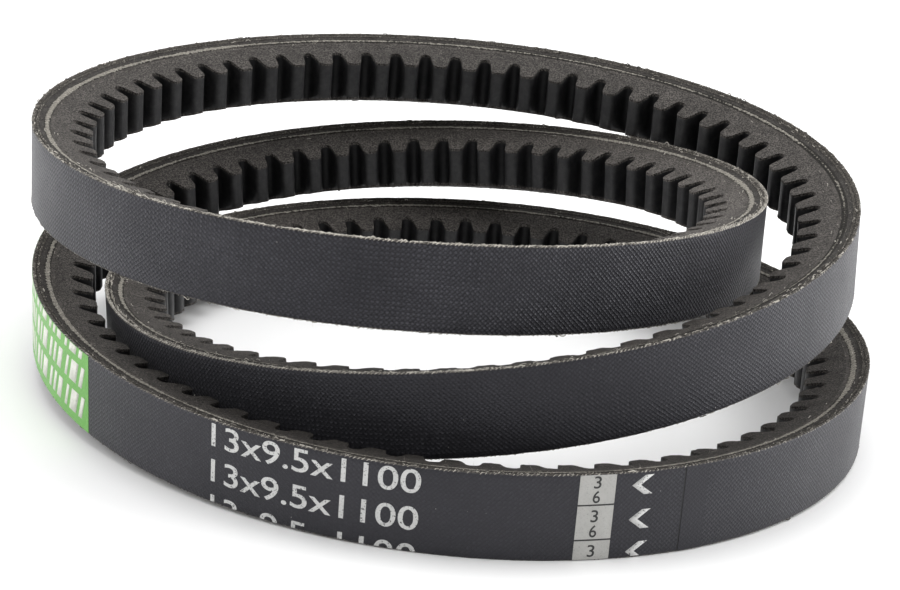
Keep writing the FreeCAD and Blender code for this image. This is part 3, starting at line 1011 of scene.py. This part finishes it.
def make_fuzz(material):
    """Fine hairs that stand up from the cut edges and from the cogs' rims."""
    rng = np.random.default_rng(81)
    steps = 7
    count = 2600
    u = rng.uniform(0.0, CORD_LENGTH, count)
    side = np.where(chance(rng, count) < 0.6, 1.0, -1.0)
    on_plies = chance(rng, count) < 0.75
    d = np.where(on_plies, rng.uniform(0, 1.2, count), rng.uniform(2.9, 7.5, count))
    size = rng.gamma(2.0, 0.11, count) * (0.4 + along_coil(EDGE_FRAYS, u))
    step = rng.normal(0.0, 1.0, (count, steps, 3))
    drift = rng.normal(0.0, 1.0, (count, 1, 3))
    walk = np.cumsum(step * 0.6 + drift, axis=1) * (size / steps)[:, None, None]
    walk -= walk[:, :1, :]
    along = u[:, None] + walk[..., 0]
    across = side[:, None] * (half_width(d)[:, None] - 0.03 + np.abs(walk[..., 1]))
    down = np.maximum(d[:, None] + walk[..., 2], -0.35)
    paths = np.stack([along, across, down], axis=-1)
    radii = rng.uniform(0.010, 0.018, (count, 1)) * np.linspace(1.0, 0.5, steps)[None, :]
    tint = np.clip(rng.normal(0.75, 0.25, count), 0.1, 1.0)
    return threads("fuzz", paths, radii, material, tint)


def label_blocks(last, first):
    """Where the label's plain blocks stand, from its end back to its start."""
    widths = (1.0, 2.2, 0.8, 1.5, 0.9)
    number = 0
    while last - widths[number % 5] > first:
        yield last - widths[number % 5], last
        last -= widths[number % 5] + (1.5 if number % 3 == 2 else 0.85)
        number += 1


def slanted_block(start, end, low, high):
    """A plain block whose ends lean, as one closed outline."""
    lean = LABEL_SLANT * (high - low)
    steps = np.linspace(0.0, 1.0, 4)
    under = [(start + (end - start) * step, low) for step in steps]
    over = [(end + (start - end) * step + lean, high) for step in steps]
    return under + over


def chevron(s, lower):
    """A plain chevron that points left, as one closed outline. lower is its lower arm's share."""
    tip = ARROW_START - ARROW_BAR * 0.45
    inner_tip = ARROW_START + ARROW_BAR * 0.55
    end = ARROW_START + ARROW_WIDTH
    foot = s - ARROW_HEIGHT / 2 * lower
    return [
        (end, s + ARROW_HEIGHT / 2),
        (inner_tip, s),
        (inner_tip + (end - inner_tip) * lower, foot),
        (tip + (end - ARROW_BAR - tip) * lower, foot),
        (tip, s),
        (end - ARROW_BAR, s + ARROW_HEIGHT / 2),
    ]


# --- Building the model ---

def keep(piece, slot, *nodes):
    """Hand a piece over to the root body, and hide the CAD nodes that it stands for. The slot is
    not used.
    """
    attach(piece, "root")
    if nodes:
        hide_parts(*nodes)


def build_belt():
    """The laminate's layers, the threads along its edges and the marks on it."""
    fabric = backing_fabric()
    thread = fibre()
    dark_rubber = ground_rubber("cushion_rubber", (0.01, 0.009, 0.0085), (0.07, 0.063, 0.057),
                                (0.24, 0.22, 0.19), 0.24)
    gum = ground_rubber("gum_rubber", (0.012, 0.011, 0.010), (0.12, 0.108, 0.098),
                        (0.3, 0.275, 0.24), 0.26)
    keep(make_ply("outer_ply", 0.0, PLY, fabric, 11), "backing_fabric", "outer_backing_fabric")
    keep(make_ply("inner_ply", PLY, CUSHION_TOP, inner_fabric(), 21), "inner_fabric",
         "inner_backing_fabric")
    keep(make_band("cushion_band", CUSHION_TOP, CORD_TOP, dark_rubber, -0.08, 0.03, 31),
         "cushion_rubber", "cushion_rubber")
    keep(make_band("cord_band", CORD_TOP, ADHESION_TOP, cord(), 0.06, 0.04, 33, CORD_SHOWS),
         "polyester_cord", "tensile_cord", "cord_gum")
    keep(make_band("adhesion_band", ADHESION_TOP, COMPRESSION_TOP, gum, -0.03, 0.03, 35),
         "gum_rubber", "adhesion_rubber")
    keep(make_cogs(cogged_rubber()), "fibre_loaded_rubber", "compression_rubber")
    keep(make_edge_row(thread), "backing_fabric")
    keep(make_thread_ends("outer_thread_ends", thread, 0.08, 0.5, 61, 1.0), "backing_fabric")
    keep(make_thread_ends("inner_thread_ends", thread, 0.7, 1.1, 65, 0.7), "inner_fabric")
    keep(make_thread_ends("cord_ends", thread, 2.1, 2.7, 67, 0.45, CORD_SHOWS, 0.6),
         "polyester_cord")
    keep(make_loose_threads(thread), "inner_fabric")
    keep(make_fuzz(thread), "inner_fabric")
    build_marks(fabric)


def build_marks(fabric):
    """The label, the panel, the belt's size, the direction marks, the splice and a crease."""
    worn = (0.02, 0.02, 0.022)
    ink = film("size_ink", (0.64, 0.64, 0.63), worn, 0.3, 0.45, 0.57, 0.63)
    green = film("label_green", (0.125, 0.38, 0.06), (0.09, 0.28, 0.05), 0.6, 0.4)
    pale = film("label_pale", (0.66, 0.66, 0.60), (0.30, 0.42, 0.24), 0.35, 0.45)
    grey = film("panel_grey", (0.46, 0.455, 0.435), (0.25, 0.25, 0.24), 0.2, 0.5)
    dark = film("panel_dark", (0.02, 0.02, 0.02), (0.06, 0.06, 0.06), 0.3, 0.5)

    label = strip("label", LABEL_START, LABEL_LENGTH, 0.12, -0.06, green, 0.8)
    keep(label, "label_film", "transfer_label")
    label_end = LABEL_START + LABEL_LENGTH
    blocks = []
    for low, high in LABEL_ROWS:
        for start, end in label_blocks(label_end - LABEL_MARGIN, LABEL_START + LABEL_MARGIN):
            blocks.append(slanted_block(start, end, low, high))
    keep(polygon_print("label_blocks", blocks, pale, -0.075), "label_film")

    panel = strip("panel", PANEL_START, PANEL_LENGTH, 0.1, -0.05, grey)
    keep(panel, "panel_film", "code_panel")
    for number, s in enumerate(PANEL_LINES):
        line = slab(f"panel_line_{number}", PANEL_START, PANEL_START + PANEL_LENGTH,
                    s - 0.12, s + 0.12, -0.06, dark, bottom=0.0)
        keep(line, "panel_film")
    for number, (text, base) in enumerate(PANEL_DIGITS):
        digit = print_shape(f"panel_digit_{number}", text, PANEL_START + 1.95, PANEL_START + 2.95,
                            base, PANEL_DIGIT_HEIGHT, dark, top=-0.07)
        keep(digit, "panel_film")

    for number, base in enumerate(SIZE_BASES):
        cut = 0.1 - HALF_WIDTH if base < -HALF_WIDTH else None
        row = print_shape(f"size_digits_{number}", SIZE_TEXT, SIZE_START, SIZE_END, base,
                          SIZE_HEIGHT, ink, cut)
        keep(row, "panel_film")
    arrows = [chevron(s, lower) for s, lower in ARROWS]
    keep(polygon_print("direction_marks", arrows, ink), "panel_film")

    splice = strip("splice", SPLICE_START, SPLICE_LENGTH, 0.05, -0.07, fabric, 0.4)
    keep(splice, "backing_fabric", "fabric_splice")
    # Painted shadow: a thin dark strip along the splice's left edge stands in for the shadow of
    # the step where the lapped fabric ends.
    seam_and_shadow = film("painted_splice_shadow", (0.004, 0.004, 0.004), (0.01, 0.01, 0.01))
    keep(strip("splice_edge_shadow", SPLICE_START - 0.16, 0.16, 0.05, -0.012, seam_and_shadow), "backing_fabric")
    # Painted highlight: a pale line across the back face stands in for the light caught by the
    # crease's ridge.
    crease_highlight = film("crease_painted_highlight", (0.16, 0.155, 0.15), (0.05, 0.05, 0.05))
    crease = slab("crease", CREASE_START, CREASE_END, 0.1 - HALF_WIDTH, 1.3, -0.012, crease_highlight)
    keep(crease, "backing_fabric")


def build_floor():
    """A white floor, so wide that its edge is far off."""
    bpy.ops.mesh.primitive_plane_add(size=FLOOR_SIZE, location=(0, 0, 0))
    floor = bpy.context.object
    floor.name = "floor"
    floor.data.materials.append(floor_material())
    floor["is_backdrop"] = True


def area_light(name, place_at, aim, size, power):
    """A square soft light that looks at one place."""
    light = bpy.data.lights.new(name, "AREA")
    light.energy = power
    light.shape = "RECTANGLE"
    light.size = size
    light.size_y = size
    thing = add_object(name, light)
    thing.location = place_at
    way = Vector(aim) - Vector(place_at)
    thing.rotation_euler = way.to_track_quat("-Z", "Y").to_euler()


def build_lights():
    """A white surround that is weaker in front than behind, and three soft lights."""
    world = bpy.data.worlds.new("studio")
    bpy.context.scene.world = world
    world.use_nodes = True
    tree = world.node_tree
    tree.nodes.clear()
    output = tree.nodes.new("ShaderNodeOutputWorld")
    background = tree.nodes.new("ShaderNodeBackground")
    background.inputs["Color"].default_value = (1.0, 1.0, 1.0, 1.0)
    direction = tree.nodes.new("ShaderNodeTexCoord").outputs["Generated"]
    split = tree.nodes.new("ShaderNodeSeparateXYZ")
    tree.links.new(direction, split.inputs[0])
    depth = tree.nodes.new("ShaderNodeMapRange")
    for socket, value in zip(depth.inputs[1:5], SURROUND):
        socket.default_value = value
    tree.links.new(split.outputs[1], depth.inputs[0])
    tree.links.new(depth.outputs[0], background.inputs["Strength"])
    tree.links.new(background.outputs[0], output.inputs[0])
    for light in LIGHTS:
        area_light(*light)


def build_camera():
    """A camera in front of the coil, a little above it and rolled a little."""
    data = bpy.data.cameras.new("camera")
    data.sensor_width = 36.0
    data.lens = 86.5
    data.shift_x = 0.063
    data.shift_y = -0.029
    data.clip_start = 0.01
    camera = add_object("camera", data)
    tilt = Matrix.Rotation(math.radians(90.0 - CAMERA_ELEVATION), 4, "X")
    roll = Matrix.Rotation(math.radians(CAMERA_ROLL), 4, "Z")
    back = Matrix.Translation((0.0, 0.0, CAMERA_DISTANCE))
    camera.matrix_world = Matrix.Translation(CAMERA_AIM) @ tilt @ roll @ back
    bpy.context.scene.camera = camera


def corners(box):
    """A box's two corners as plain numbers."""
    return [[float(part) for part in corner] for corner in box]


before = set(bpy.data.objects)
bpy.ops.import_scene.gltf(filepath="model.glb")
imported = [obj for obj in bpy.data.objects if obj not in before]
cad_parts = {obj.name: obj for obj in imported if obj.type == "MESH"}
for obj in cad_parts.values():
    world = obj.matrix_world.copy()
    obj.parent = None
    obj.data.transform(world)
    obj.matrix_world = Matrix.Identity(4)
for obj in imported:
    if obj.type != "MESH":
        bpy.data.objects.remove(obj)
cad_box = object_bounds()
bpy.context.scene.view_settings.view_transform = "Standard"
build_belt()
build_floor()
build_lights()
build_camera()
{"cad": corners(cad_box), "visual": corners(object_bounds())}
